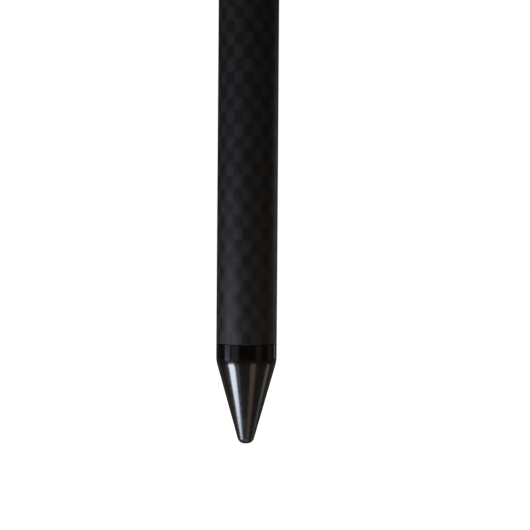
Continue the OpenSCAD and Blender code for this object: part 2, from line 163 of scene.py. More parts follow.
# %% [markdown]
# ## Patterns that many finishes share
#
# No real surface is even. Handling, oil and small differences in a coating make soft patches a
# few millimetres wide, so every finish lets its roughness or colour drift between two values.
#
# A turned part keeps fine rings from the lathe tool, square to the part's own axis. A texture that
# only knows the distance out from the axis and the distance along it draws such rings on the sides
# and on the ends alike. Real rings are about 0.1 mm apart, which is too fine to show, so these are
# a few times as coarse.

# %% Shared patterns
MM = 0.001
ALONG = {"X": (1, 0, 0), "Y": (0, 1, 0), "Z": (0, 0, 1)}


def here(tree):
    """The place on the object, in metres."""
    return tree.nodes["Texture Coordinate"].outputs["Object"]


def patches(tree, size_mm, low, high, where=None):
    """A value that drifts between low and high, in patches of about size_mm."""
    spots = add(tree, "ShaderNodeTexNoise",
                {"Vector": where or here(tree), "Scale": 1 / (size_mm * MM), "Detail": 3.0})
    return add(tree, "ShaderNodeMapRange",
               {"Value": spots, "From Min": 0.32, "From Max": 0.68, "To Min": low, "To Max": high})


def two_tones(tree, size_mm, first, second, where=None):
    """A colour that drifts between two, in patches of about size_mm."""
    share = patches(tree, size_mm, 0.0, 1.0, where)
    return add(tree, "ShaderNodeMix", {"Factor": share, "A": colour(first), "B": colour(second)},
               data_type="RGBA")


def lathe_place(tree, axis="Z", centre=(0.0, 0.0, 0.0)):
    """How far out from a turned part's axis, and how far along it, as a texture coordinate."""
    along = ALONG[axis]
    across = [1 - part for part in along]
    local = add(tree, "ShaderNodeVectorMath", [here(tree), tuple(centre)], operation="SUBTRACT")
    flat = add(tree, "ShaderNodeVectorMath", [local, across], operation="MULTIPLY")
    out = add(tree, "ShaderNodeVectorMath", [flat], operation="LENGTH")
    up = add(tree, "ShaderNodeVectorMath", [local, along], operation="DOT_PRODUCT")
    return add(tree, "ShaderNodeCombineXYZ", [out, up])


print("patterns are sized in millimetres, coordinates in metres")

# %% [markdown]
# ## Black polished steel
#
# The ground point is turned from hardened steel, polished and blackened. The black layer is thin
# and glossy, so the room shows in it as sharp dark shapes with narrow bright streaks. A dark metal
# does this: it reflects a few percent face on, and much more at its edges. The end goes into gravel
# and on to survey nails, so it is scuffed towards the nose.

# %% Blackened point
SCUFFED_UP_TO = 34 * MM


def blackened_steel():
    material, tree, shader = finish("blackened_polished_steel", "#323234", 0.15, Metallic=1.0)
    height = add(tree, "ShaderNodeSeparateXYZ", [here(tree)]).outputs["Z"]
    scuffed = add(tree, "ShaderNodeMapRange",
                  {"Value": height, "From Min": 0.0, "From Max": SCUFFED_UP_TO, "To Min": 0.15,
                   "To Max": 0.0})
    rough = add(tree, "ShaderNodeMath", [patches(tree, 6.0, 0.13, 0.19), scuffed], operation="ADD")
    rings = patches(tree, 0.5, 0.0, 1.0, lathe_place(tree))
    cut = add(tree, "ShaderNodeBump", {"Height": rings, "Distance": 0.0008 * MM})
    fill(tree, shader, {"Base Color": two_tones(tree, 6.0, "#2f2f30", "#353537"), "Roughness": rough,
                        "Normal": cut})
    return material


black_steel = blackened_steel()
print("made", black_steel.name)

# %% [markdown]
# ## Plain-weave carbon fibre
#
# The outer tube is wrapped in plain-weave fabric under a satin lacquer. In plain weave a tow of
# fibres round the tube goes over one that runs along it, then under the next, so the surface is a
# chequerboard of cells 5 mm wide and 6.7 mm high. A cell whose fibres run round the tube throws the
# light of a low lamp towards the eye and the next one doesn't, so they look light and dark. Those
# cells get a rougher lacquer, and also a lighter colour, which is a painted sheen. A product of two
# sines draws the board with soft edges, and also the crown of each tow. Slow patches are added to
# it, because tows are never quite equal in width. Fibres are 7 microns thick, so they are drawn as
# streaks of half a millimetre.

# %% Woven tube
TOWS_AROUND = 20
TOW_LENGTH = 6.69 * MM
FIRST_COLUMN = 0.47
FIRST_ROW = 0.15


def fibres(tree, x_mm, y_mm, z_mm):
    """Streaks of the given size along each axis."""
    per_metre = [1 / (size * MM) for size in (x_mm, y_mm, z_mm)]
    sized = add(tree, "ShaderNodeMapping", {"Vector": here(tree), "Scale": per_metre})
    return add(tree, "ShaderNodeTexNoise", {"Vector": sized, "Scale": 1.0, "Detail": 1.0})


def woven_carbon():
    material, tree, shader = finish("plain_weave_carbon_satin_lacquer", "#1b1c1e", 0.42)
    place = add(tree, "ShaderNodeSeparateXYZ", [here(tree)]).outputs
    angle = add(tree, "ShaderNodeMath", [place["Y"], place["X"]], operation="ARCTAN2")
    column = add(tree, "ShaderNodeMath", [angle, TOWS_AROUND / math.tau, FIRST_COLUMN],
                 operation="MULTIPLY_ADD")
    row = add(tree, "ShaderNodeMath", [place["Z"], 1 / TOW_LENGTH, FIRST_ROW], operation="MULTIPLY_ADD")
    waves = []
    for count in (column, row):
        half_turns = add(tree, "ShaderNodeMath", [count, math.pi], operation="MULTIPLY")
        waves.append(add(tree, "ShaderNodeMath", [half_turns], operation="SINE"))
    board = add(tree, "ShaderNodeMath", waves, operation="MULTIPLY")
    uneven = add(tree, "ShaderNodeMath", [board, patches(tree, 5.0, -0.16, 0.16)], operation="ADD")
    hoop = add(tree, "ShaderNodeMapRange", {"Value": uneven, "From Min": -0.5, "From Max": 0.5},
               interpolation_type="SMOOTHSTEP")
    crown = add(tree, "ShaderNodeMath", [board], operation="ABSOLUTE")
    along, around = fibres(tree, 0.5, 0.5, 14.0), fibres(tree, 14.0, 14.0, 0.5)
    streak = add(tree, "ShaderNodeMix", {"Factor": hoop, "A": along, "B": around})
    shade = add(tree, "ShaderNodeMapRange", {"Value": streak, "From Min": 0.3, "From Max": 0.7})
    # The cells whose fibres run round the tube take the lighter pair of colours: a painted sheen on top
    # of the weave's pattern.
    tows = []
    for dark, light in (("#0a0a0b", "#131314"), ("#131417", "#1c1e22")):
        tows.append(add(tree, "ShaderNodeMix", {"Factor": shade, "A": colour(dark), "B": colour(light)},
                        data_type="RGBA"))
    weave_and_painted_sheen = add(tree, "ShaderNodeMix", {"Factor": hoop, "A": tows[0], "B": tows[1]}, data_type="RGBA")
    satin, duller = patches(tree, 9.0, 0.35, 0.39), patches(tree, 9.0, 0.42, 0.47)
    lacquer = add(tree, "ShaderNodeMix", {"Factor": hoop, "A": satin, "B": duller})
    relief = add(tree, "ShaderNodeMath", [streak, 0.25, crown], operation="MULTIPLY_ADD")
    tilt = add(tree, "ShaderNodeBump", {"Height": relief, "Distance": 0.03 * MM, "Strength": 0.8})
    fill(tree, shader, {"Base Color": weave_and_painted_sheen, "Roughness": lacquer, "Normal": tilt})
    return material


carbon_weave = woven_carbon()
tow_width = math.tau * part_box("outer_tube")[1].x / TOWS_AROUND
print(f"tows {tow_width / MM:.1f} mm wide, {TOW_LENGTH / MM:.1f} mm along")

# %% [markdown]
# ## Ground carbon fibre
#
# The inner tube has to slide, so it is ground to size after moulding. That leaves a dull black
# surface with fine rings and the faint spiral of the tape it was wrapped in.

# %% Ground inner tube
TAPE_PITCH = 15.0 * MM


def ground_carbon():
    material, tree, shader = finish("ground_wrapped_carbon", "#1c1c1d", 0.5)
    place = add(tree, "ShaderNodeSeparateXYZ", [here(tree)]).outputs
    angle = add(tree, "ShaderNodeMath", [place["Y"], place["X"]], operation="ARCTAN2")
    turn = add(tree, "ShaderNodeMath", [angle, math.tau], operation="DIVIDE")
    climb = add(tree, "ShaderNodeMath", [place["Z"], TAPE_PITCH], operation="DIVIDE")
    wound = add(tree, "ShaderNodeMath", [climb, turn], operation="SUBTRACT")
    tape = add(tree, "ShaderNodeMath", [wound, 0.5], operation="PINGPONG")
    seam = add(tree, "ShaderNodeMapRange",
               {"Value": tape, "From Max": 0.06, "To Min": 0.6, "To Max": 0.0},
               interpolation_type="SMOOTHSTEP")
    ground = two_tones(tree, 0.4, "#171718", "#252627", lathe_place(tree))
    dark = add(tree, "ShaderNodeMix", {"Factor": seam, "A": ground, "B": colour("#303133")},
               data_type="RGBA")
    rings = patches(tree, 0.4, 0.0, 1.0, lathe_place(tree))
    relief = add(tree, "ShaderNodeMath", [rings, seam], operation="ADD")
    tilt = add(tree, "ShaderNodeBump", {"Height": relief, "Distance": 0.004 * MM})
    fill(tree, shader, {"Base Color": dark, "Roughness": patches(tree, 5.0, 0.42, 0.56), "Normal": tilt})
    return material


carbon_ground = ground_carbon()
print("made", carbon_ground.name)

# %% [markdown]
# ## Anodised aluminium
#
# The clamp, the level's cup and arm and the top plug are machined, bead blasted and anodised.
# Blasting leaves an even peening of about 0.2 mm, drawn a little coarser here, and anodising
# dyes the oxide on top. The eye gets a soft grey sheen from a black part. Every edge is broken
# by the blasting, so a Bevel node rounds the shading over 0.4 mm. Where that rounded normal
# leaves the true one there is an edge, and hands and bags have rubbed some dye off it. The dyed
# oxide covers the metal, so the shader is only about a third metal.

# %% Anodised finishes
BLASTED_EDGE = 0.4 * MM
DYED_METAL = 0.35


def anodised(name, dye, worn, roughness):
    material, tree, shader = finish(name, dye, roughness, Metallic=DYED_METAL)
    rounded = add(tree, "ShaderNodeBevel", {"Radius": BLASTED_EDGE}, samples=4)
    flat = add(tree, "ShaderNodeNewGeometry").outputs["Normal"]
    agreement = add(tree, "ShaderNodeVectorMath", [rounded, flat], operation="DOT_PRODUCT")
    edge = add(tree, "ShaderNodeMapRange",
               {"Value": agreement, "From Min": 0.985, "From Max": 0.9, "To Max": 0.5})
    rubbed = add(tree, "ShaderNodeMath", [edge, patches(tree, 8.0, 0.2, 1.0)], operation="MULTIPLY")
    dyed = add(tree, "ShaderNodeMix", {"Factor": rubbed, "A": colour(dye), "B": colour(worn)},
               data_type="RGBA")
    peening = patches(tree, 0.35, 0.0, 1.0)
    tilt = add(tree, "ShaderNodeBump", {"Height": peening, "Distance": 0.004 * MM, "Normal": rounded})
    rough = patches(tree, 8.0, roughness - 0.05, roughness + 0.05)
    fill(tree, shader, {"Base Color": dyed, "Roughness": rough, "Normal": tilt})
    return material


black_anodised = anodised("black_anodised_blasted_aluminium", "#1a1a1c", "#5c5c60", 0.42)
red_anodised = anodised("red_anodised_aluminium", "#a3160f", "#d0705f", 0.32)
print("made", black_anodised.name, "and", red_anodised.name)

# %% [markdown]
# ## Turned metals
#
# Bolts, pins, the insert and the stud are plain turned metal. Each keeps its lathe rings about
# its own axis, so a function takes the axis and a node whose middle lies on it.

# %% Turned metals
def middle(node):
    """The middle of a CAD node's box."""
    low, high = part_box(node)
    return (low + high) / 2


def turned_metal(name, base, shine, roughness, axis="Z", node=None):
    """A metal whose rings run round an axis through the node's middle, or round the pole's own."""
    material, tree, shader = finish(name, base, roughness, Metallic=1.0)
    centre = middle(node) if node else (0.0, 0.0, 0.0)
    rings = patches(tree, 0.25, 0.0, 1.0, lathe_place(tree, axis, centre))
    tilt = add(tree, "ShaderNodeBump", {"Height": rings, "Distance": 0.002 * MM})
    fill(tree, shader, {"Base Color": two_tones(tree, 5.0, base, shine), "Normal": tilt,
                        "Roughness": patches(tree, 5.0, roughness - 0.06, roughness + 0.08)})
    return material


STAINLESS = ("#a9a9a7", "#c4c4c2")
steel_pin = turned_metal("turned_stainless_pin", *STAINLESS, 0.26, "Z", "lever_pin")
steel_bolt = turned_metal("turned_stainless_bolt", *STAINLESS, 0.26, "Y", "clamp_bolt")
steel_plunger = turned_metal("turned_stainless_plunger", *STAINLESS, 0.22, "Y", "plunger_pin")
steel_dowel = turned_metal("ground_dowel_steel", "#a5a5a6", "#bdbdbe", 0.2, "X", "top_cross_pin")
steel_screws = turned_metal("stainless_level_screws", "#9f9f9d", "#c0c0be", 0.3, "Z", "level_cup")
spring_wire = turned_metal("drawn_spring_wire", "#7d7d7e", "#9b9b9c", 0.3, "Y", "plunger_spring")
bronze = turned_metal("turned_bronze_washer", "#8f6b35", "#b98d4c", 0.36, "Y", "cam_washer")
brass = turned_metal("turned_brass", "#a9823f", "#c9a25a", 0.27)
bare_aluminium = turned_metal("turned_aluminium", "#a8a9ab", "#c2c3c5", 0.32)
black_oxide = turned_metal("black_oxide_screws", "#1f1f21", "#343437", 0.38, "X", "level_arm_screws")
print("made ten turned metals")

# %% [markdown]
# ## Nylon, rubber and moulded plastic
#
# Natural nylon is a cloudy cream that lets light in, so it has subsurface scattering. Rubber and
# the knob's plastic are moulded black, with the fine grain of the mould and hardly any shine.

# %% Plastics and rubber
def moulded(name, base, fresh, roughness, grain_mm, depth_mm, **sockets):
    material, tree, shader = finish(name, base, roughness, **sockets)
    grain = patches(tree, grain_mm, 0.0, 1.0)
    tilt = add(tree, "ShaderNodeBump", {"Height": grain, "Distance": depth_mm * MM})
    fill(tree, shader, {"Base Color": two_tones(tree, 7.0, base, fresh), "Normal": tilt,
                        "Roughness": patches(tree, grain_mm, roughness - 0.05, roughness + 0.06)})
    return material


nylon = moulded("natural_nylon", "#cfc9b6", "#ddd8c8", 0.45, 0.6, 0.004, Subsurface_Weight=0.25,
                Subsurface_Scale=2 * MM)
black_plastic = moulded("moulded_black_acetal", "#161616", "#202021", 0.4, 0.5, 0.006)
rubber = moulded("moulded_nitrile_rubber", "#121212", "#1b1b1b", 0.68, 0.4, 0.01)
print("made", nylon.name, black_plastic.name, rubber.name)

# %% [markdown]
# ## The circular level
#
# The level is a cup with a ground glass lens, spirit dyed yellow-green and a bubble of air. The
# cup's floor is enamelled white, so the spirit glows. Glass, spirit and air are three clear
# shaders that differ in index and tint. The white floor is part of the cup, so the cup's
# anodising turns to enamel near the floor's height, inside a radius about the level's own axis.

# %% Glass, spirit and cup
def clear(name, tint, index, smeared):
    material, tree, shader = finish(name, tint, 0.0, Transmission_Weight=1.0, IOR=index)
    fill(tree, shader, {"Roughness": patches(tree, 4.0, 0.0, smeared)})
    return material


def cup_with_white_floor():
    material = black_anodised.copy()
    material.name = "black_anodised_cup_white_enamel_floor"
    tree = material.node_tree
    shader = tree.nodes["Principled BSDF"]
    axis = middle("level_cup")
    cup_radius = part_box("level_lens")[1].x - axis.x
    floor_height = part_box("level_fluid")[0].z
    place = add(tree, "ShaderNodeSeparateXYZ", [lathe_place(tree, "Z", (axis.x, axis.y, 0.0))]).outputs
    inside = add(tree, "ShaderNodeMath", [place["X"], cup_radius - 0.1 * MM], operation="LESS_THAN")
    at_floor = add(tree, "ShaderNodeMath", [place["Y"], floor_height, 0.2 * MM], operation="COMPARE")
    enamel = add(tree, "ShaderNodeMath", [inside, at_floor], operation="MULTIPLY")
    dyed = shader.inputs["Base Color"].links[0].from_socket
    both = add(tree, "ShaderNodeMix", {"Factor": enamel, "A": dyed, "B": colour("#f2f2ea")},
               data_type="RGBA")
    metal = add(tree, "ShaderNodeMath", [enamel, -DYED_METAL, DYED_METAL], operation="MULTIPLY_ADD")
    fill(tree, shader, {"Base Color": both, "Metallic": metal})
    return material


lens_glass = clear("ground_glass_lens", "#f6fbf8", 1.5, 0.03)
spirit = clear("dyed_spirit", "#d9ec3c", 1.36, 0.01)
air = clear("bubble_air", "#ffffff", 1.0, 0.01)
enamelled_cup = cup_with_white_floor()
print("made", lens_glass.name, spirit.name, air.name, enamelled_cup.name)

# %% [markdown]
# ## Printing ink
#
# The graduations are screen printed in a matt white that is a little thin in places, and the
# level's circle in black.

# %% Inks
def ink(name, full, thin):
    material, tree, shader = finish(name, full, 0.55)
    fill(tree, shader, {"Base Color": two_tones(tree, 1.2, full, thin),
                        "Roughness": patches(tree, 3.0, 0.5, 0.6)})
    return material


white_ink = ink("white_screen_print", "#e6e6e2", "#cbcbc6")
black_ink = ink("black_screen_print", "#0c0c0c", "#1a1a18")
print("made", white_ink.name, black_ink.name)

# %% [markdown]
# ## Dressing the CAD nodes
#
# Most of the small parts have the right shape already, with exact normals from their true
# surfaces. They stay as they are and only change their material.

# %% Assign finishes
DRESS = (
    (bare_aluminium, "point_insert"),
    (nylon, "top_bush", "clamp_liner", "wear_ring"),
    (black_anodised, "lock_collar", "adjust_nut", "top_plug"),
    (black_oxide, "collar_grub_screws", "level_arm_screws"),
    (steel_bolt, "clamp_bolt", "nut_washer"),
    (steel_pin, "lever_pin"),
    (bronze, "cam_washer"),
    (steel_screws, "level_adjust_screws"),
    (enamelled_cup, "level_cup"),
    (spirit, "level_fluid"),
    (air, "level_bubble"),
    (lens_glass, "level_lens"),
    (steel_plunger, "plunger_body", "plunger_pin"),
    (black_plastic, "end_plug"),
    (rubber, "level_o_ring", "bumper_ring"),
    (steel_dowel, "top_cross_pin"),
)


def dress(thing, material):
    thing.data.materials.clear()
    thing.data.materials.append(material)


for material, *dressed in DRESS:
    for node in dressed:
        dress(nodes[node], material)
    print(material.name, "on", ", ".join(dressed))

# %% [markdown]
# ## Turning round parts
#
# The point and both tubes are the largest surfaces, so they get finer meshes than the CAD's. A
# turned part is a section, a list of (radius, height) points, spun round the axis. Points on the
# axis become one vertex each, so the ends are closed, and only edges that turn sharply stay
# sharp.

# %% Spinning a section
def spin(name, section, segments, closed=False):
    """A mesh from (radius, height) points spun round Z. closed joins the last point to the first."""
    spun = bmesh.new()
    rings = []
    for radius, height in section:
        turns = [math.tau * i / segments for i in range(segments if radius else 1)]
        places = [(radius * math.cos(turn), radius * math.sin(turn), height) for turn in turns]
        rings.append([spun.verts.new(place) for place in places])
    for low, high in zip(rings, rings[1:] + rings[:1] if closed else rings[1:]):
        for i in range(segments):
            j = (i + 1) % segments
            corners = [low[i % len(low)], low[j % len(low)], high[j % len(high)], high[i % len(high)]]
            face = list(dict.fromkeys(corners))
            if len(face) > 2:
                spun.faces.new(face)
    bmesh.ops.recalc_face_normals(spun, faces=spun.faces)
    return to_mesh(name, spun)


def to_mesh(name, work):
    """Turns a bmesh into a mesh."""
    mesh = bpy.data.meshes.new(name)
    work.to_mesh(mesh)
    work.free()
    return mesh


def fillet(before, corner, after, radius, steps):
    """Points of an arc that rounds the corner of a section."""
    before, corner, after = Vector(before), Vector(corner), Vector(after)
    back, forth = (before - corner).normalized(), (after - corner).normalized()
    half = back.angle(forth) / 2
    centre = corner + (back + forth).normalized() * radius / math.sin(half)
    start = corner + back * radius / math.tan(half) - centre
    turn = (corner + forth * radius / math.tan(half) - centre).angle_signed(start)
    return [tuple(centre + Matrix.Rotation(turn * i / steps, 2) @ start) for i in range(steps + 1)]


def moved(mesh, offset, turn=Matrix.Identity(4)):
    """Turns a mesh and then moves it into place."""
    mesh.transform(Matrix.Translation(offset) @ turn)


def joined(name, *meshes):
    """One mesh of several."""
    together = bmesh.new()
    for mesh in meshes:
        together.from_mesh(mesh)
    return to_mesh(name, together)


def placed(data):
    """A new object in the scene that holds a mesh, a curve or a light."""
    thing = bpy.data.objects.new(data.name, data)
    bpy.context.collection.objects.link(thing)
    return thing


SHARP = math.radians(32)


def piece_of(mesh, material, body, slot, *replaced):
    """Makes a finished piece of a mesh, riding on a body, in place of any CAD nodes named."""
    piece = placed(mesh)
    dress(piece, material)
    mesh.shade_smooth()
    mesh.set_sharp_from_angle(angle=SHARP)
    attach(piece, body)
    if replaced:
        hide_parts(*replaced)
    print(f"{mesh.name}: {len(mesh.polygons)} faces")
    return piece


# %% [markdown]
# ## The ground point
#
# The point is a cone that tapers at about 16 degrees a side from a short collar, flush with the
# tube, to a blunt nose. A large radius blends the cone into the collar. Its section follows the
# CAD node's, with more steps in each arc and a small chamfer where it meets the tube. The shank
# that screws into the tube is hidden.

# %% Ground point
point_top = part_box("ground_point")[1].z
POLE_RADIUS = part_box("ground_point")[1].x
TUBE_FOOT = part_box("outer_tube")[0].z
CONE_HEIGHT = 43.3 * MM
NOSE_RADIUS = 3.6 * MM
NOSE_FLAT = 0.8 * MM
BLEND_RADIUS = 17 * MM
SHANK_RADIUS = 5.95 * MM
JOINT_CHAMFER = 0.3 * MM
END_CHAMFER = 1 * MM
UNDERCUT_TOP = 2 * MM
SHANK_START = 3 * MM

nose_corner = (NOSE_RADIUS, 0.0)
cone_top = (POLE_RADIUS, CONE_HEIGHT)
taper = math.atan2(POLE_RADIUS - NOSE_RADIUS, CONE_HEIGHT)
nose_round = (NOSE_RADIUS - NOSE_FLAT) / math.tan(math.pi / 4 - taper / 2)
point_section = [
    (0.0, 0.0),
    *fillet((0.0, 0.0), nose_corner, cone_top, nose_round, 24),
    *fillet(nose_corner, cone_top, (POLE_RADIUS, TUBE_FOOT), BLEND_RADIUS, 16),
    (POLE_RADIUS, TUBE_FOOT - JOINT_CHAMFER),
    (POLE_RADIUS - JOINT_CHAMFER, TUBE_FOOT),
    (SHANK_RADIUS - END_CHAMFER, TUBE_FOOT),
    (SHANK_RADIUS - END_CHAMFER, TUBE_FOOT + UNDERCUT_TOP),
    (SHANK_RADIUS, TUBE_FOOT + SHANK_START),
    (SHANK_RADIUS, point_top - END_CHAMFER),
    (SHANK_RADIUS - END_CHAMFER, point_top),
    (0.0, point_top),
]
point_mesh = spin("ground_point_turned", point_section, segments=192)
piece_of(point_mesh, black_steel, "lower_pole", "black_steel", "ground_point")
print(f"the cone tapers at {math.degrees(taper):.1f} degrees a side")

# %% [markdown]
# ## The outer tube
#
# The tube is one long turned section: bore, outside, and the short length at the top that is
# ground down to take the glue inside the collar. Its lower edge has a fine chamfer, which draws
# the thin line where the tube meets the point.

# %% Outer tube
tube_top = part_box("outer_tube")[1].z
collar_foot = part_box("lock_collar")[0].z
TUBE_BORE = POLE_RADIUS - 1.9 * MM
GLUE_RADIUS = POLE_RADIUS - 0.225 * MM
EDGE = 0.15 * MM
tube_section = [
    (TUBE_BORE, TUBE_FOOT),
    (POLE_RADIUS - EDGE, TUBE_FOOT),
    (POLE_RADIUS, TUBE_FOOT + EDGE),
    (POLE_RADIUS, collar_foot),
    (GLUE_RADIUS, collar_foot),
    (GLUE_RADIUS, tube_top),
    (TUBE_BORE, tube_top),
]
tube_mesh = spin("outer_tube_woven", tube_section, segments=160, closed=True)
piece_of(tube_mesh, carbon_weave, "lower_pole", "carbon_tube", "outer_tube")

# %% [markdown]
# ## The inner tube
#
# The inner tube is spun the same way. The index plunger drops into three holes in its back, so
# the holes are cut with a Boolean modifier, whose result is taken at once as a plain mesh.

# %% Inner tube
inner_foot, inner_top = (corner.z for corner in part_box("inner_tube"))
INNER_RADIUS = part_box("inner_tube")[1].x
INNER_BORE = INNER_RADIUS - 1.6 * MM
inner_section = [
    (INNER_BORE, inner_foot),
    (INNER_RADIUS - EDGE, inner_foot),
    (INNER_RADIUS, inner_foot + EDGE),
    (INNER_RADIUS, inner_top),
    (INNER_BORE, inner_top),
]

plunger_height = middle("plunger_pin").z
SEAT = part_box("top_plug")[1].z
INDEXED = (1.5, 1.8, 2.0)
INDEX_HOLE_RADIUS = 2.7 * MM


def evaluated(thing, name):
    """The object's mesh with its modifiers applied. The object is removed."""
    depsgraph = bpy.context.evaluated_depsgraph_get()
    mesh = bpy.data.meshes.new_from_object(thing.evaluated_get(depsgraph))
    source = thing.data
    bpy.data.objects.remove(thing)
    bpy.data.batch_remove([source])
    mesh.name = name
    return mesh


drills = bmesh.new()
for seat_height in INDEXED:
    place = Matrix.Translation((0, INNER_RADIUS, plunger_height - (seat_height - SEAT)))
    bmesh.ops.create_cone(drills, cap_ends=True, segments=48, radius1=INDEX_HOLE_RADIUS,
                          radius2=INDEX_HOLE_RADIUS, depth=INNER_RADIUS,
                          matrix=place @ Matrix.Rotation(math.radians(90), 4, "X"))
cutter = placed(to_mesh("index_drills", drills))
blank = placed(spin("inner_tube_blank", inner_section, segments=128, closed=True))
cut = blank.modifiers.new("drill", "BOOLEAN")
cut.solver = "EXACT"
cut.object = cutter
inner_mesh = evaluated(blank, "inner_tube_ground")
bpy.data.objects.remove(cutter)
piece_of(inner_mesh, carbon_ground, "upper_pole", "carbon_inner", "inner_tube")

# %% [markdown]
# ## Softer edges on milled parts
#
# The lever and the level's arm are flat milled shapes whose long straight edges catch the light,
# so a real bevel shows on them. A copy of the CAD mesh is merged, its flat faces are joined up,
# and the sharp edges are rounded. The result replaces the CAD node and keeps its size.

# %% Softened lever and arm
def softened(name, node, radius):
    """A merged copy of a CAD node's mesh with its sharp edges rounded."""
    work = bmesh.new()
    work.from_mesh(nodes[node].data)
    bmesh.ops.remove_doubles(work, verts=work.verts, dist=1e-6)
    bmesh.ops.dissolve_limit(work, angle_limit=math.radians(0.5), verts=work.verts, edges=work.edges)
    corners = [edge for edge in work.edges if edge.is_manifold and edge.calc_face_angle() > SHARP]
    bmesh.ops.bevel(work, geom=corners, offset=radius, segments=3, profile=0.5, affect="EDGES",
                    clamp_overlap=True)
    return to_mesh(name, work)


lever_mesh = softened("cam_lever_softened", "cam_lever", 0.5 * MM)
arm_mesh = softened("level_arm_softened", "level_arm", 0.35 * MM)
piece_of(lever_mesh, red_anodised, "lever", "red_anodised", "cam_lever")
piece_of(arm_mesh, black_anodised, "lower_pole", "black_anodised", "level_arm")

# %% [markdown]
# ## A helix in Geometry Nodes
#
# A thread and a coil spring are the same idea: a small section carried along a helix. The tree
# below takes the helix from the Spiral curve, keeps the section level with a fixed upright
# normal, shrinks it at both ends for a thread's run-out, and sweeps it. Only the section
# differs: a trapezium makes a thread's ridge and a circle makes a wire.

# %% Helix trees
def tree_with_inputs(name, floats, **others):
    """An empty tree with named inputs and a material's. Returns it, its inputs and its output node."""
    kinds = dict.fromkeys(floats.split(), "Float") | others | {"Material": "Material"}
    tree = bpy.data.node_groups.new(name, "GeometryNodeTree")
    tree.interface.new_socket("Geometry", in_out="OUTPUT", socket_type="NodeSocketGeometry")
    for label, kind in kinds.items():
        tree.interface.new_socket(label, in_out="INPUT", socket_type="NodeSocket" + kind)
    return tree, tree.nodes.new("NodeGroupInput").outputs, tree.nodes.new("NodeGroupOutput")


def close_tree(tree, geometry, given, output):
    """Ends a tree in real geometry with its material."""
    real = add(tree, "GeometryNodeRealizeInstances", [geometry])
    made = add(tree, "GeometryNodeSetMaterial", {"Geometry": real, "Material": given["Material"]})
    fill(tree, output, [made])


def grown(name, tree, **values):
    """Runs a tree with the given inputs and returns the result as a plain mesh."""
    host = placed(bpy.data.meshes.new(name))
    modifier = host.modifiers.new("grow", "NODES")
    modifier.node_group = tree
    for item in tree.interface.items_tree:
        if item.name in values:
            modifier[item.identifier] = values[item.name]
    return evaluated(host, name)


def helix_tree(name, section, floats, **others):
    tree, given, output = tree_with_inputs(name, "Radius Pitch Turns RunOut EndScale " + floats, **others)
    climb = add(tree, "ShaderNodeMath", [given["Pitch"], given["Turns"]], operation="MULTIPLY")
    spiral = add(tree, "GeometryNodeCurveSpiral",
                 {"Resolution": 48, "Rotations": given["Turns"], "Height": climb,
                  "Start Radius": given["Radius"], "End Radius": given["Radius"]})
    upright = add(tree, "GeometryNodeSetCurveNormal", [spiral], mode="Z_UP")
    way = add(tree, "GeometryNodeSplineParameter").outputs["Factor"]
    from_end = add(tree, "ShaderNodeMath", [way, 0.5], operation="PINGPONG")
    share = add(tree, "ShaderNodeMath", [given["RunOut"], given["Turns"]], operation="DIVIDE")
    fade = add(tree, "ShaderNodeMapRange",
               {"Value": from_end, "From Max": share, "To Min": given["EndScale"]})
    profile = section(tree, given)
    sweep = add(tree, "GeometryNodeCurveToMesh",
                {"Curve": upright, "Profile Curve": profile, "Scale": fade, "Fill Caps": True})
    merged = add(tree, "GeometryNodeMergeByDistance", {"Geometry": sweep, "Distance": 1e-6})
    close_tree(tree, merged, given, output)
    return tree


def ridge_section(tree, given):
    """A trapezium whose narrow side faces out from the helix's axis."""
    shape = add(tree, "GeometryNodeCurvePrimitiveQuadrilateral",
                {"Height": given["Depth"], "Bottom Width": given["Foot"], "Top Width": given["Crest"],
                 "Offset": 0.0}, mode="TRAPEZOID")
    return add(tree, "GeometryNodeTransform", {"Geometry": shape, "Rotation": (0, 0, math.radians(90))})


def wire_section(tree, given):
    ring = add(tree, "GeometryNodeCurvePrimitiveCircle",
               {"Resolution": given["Sides"], "Radius": given["Wire"]})
    return ring.outputs["Curve"]


ridge = helix_tree("thread_ridge", ridge_section, "Depth Foot Crest")
coil = helix_tree("wire_coil", wire_section, "Wire", Sides="Int")
print("helix trees have", len(ridge.nodes), "and", len(coil.nodes), "nodes")

# %% [markdown]
# ## The stud's thread
#
# The prism screws on to a 5/8 inch stud with 11 threads to the inch. Its core is spun to the
# thread's root, and the helix lays a ridge round it whose crest is the stud's full radius. The
# ridge's foot sinks a little into the core, so nothing shows between them.

# %% Threaded stud
stud_foot, stud_top = (corner.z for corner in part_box("top_stud"))
STUD_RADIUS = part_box("top_stud")[1].x
STUD_PITCH = 25.4 / 11 * MM
THREAD_DEPTH = 0.61 * STUD_PITCH
RIDGE_FOOT = 0.95 * STUD_PITCH
RIDGE_CREST = 0.14 * STUD_PITCH
THREAD_CHAMFER = 0.6 * MM
SUNK = 0.15 * MM
ROOT = STUD_RADIUS - THREAD_DEPTH
SHANK = STUD_RADIUS - 0.7 * MM
stud_section = [
    (0.0, stud_foot),
    (SHANK - END_CHAMFER, stud_foot),
    (SHANK, stud_foot + END_CHAMFER),
    (SHANK, SEAT - THREAD_CHAMFER),
    (ROOT, SEAT),
    (ROOT, stud_top - THREAD_CHAMFER),
    (ROOT - THREAD_CHAMFER, stud_top),
    (0.0, stud_top),
]
ridge_depth = STUD_RADIUS - ROOT + SUNK
thread_turns = (stud_top - SEAT - 1.1 * STUD_PITCH) / STUD_PITCH
ridge_mesh = grown("stud_ridge", ridge, Radius=STUD_RADIUS - ridge_depth / 2, Pitch=STUD_PITCH,
                   Turns=thread_turns, RunOut=0.5, EndScale=0.3, Material=brass, Depth=ridge_depth,
                   Foot=RIDGE_FOOT, Crest=RIDGE_CREST)
moved(ridge_mesh, (0, 0, SEAT + 0.5 * STUD_PITCH))
stud_mesh = joined("top_stud_threaded", spin("stud_core", stud_section, segments=64), ridge_mesh)
piece_of(stud_mesh, brass, "upper_pole", "brass", "top_stud")
print(f"{thread_turns:.1f} turns, {STUD_PITCH / MM:.2f} mm apart")
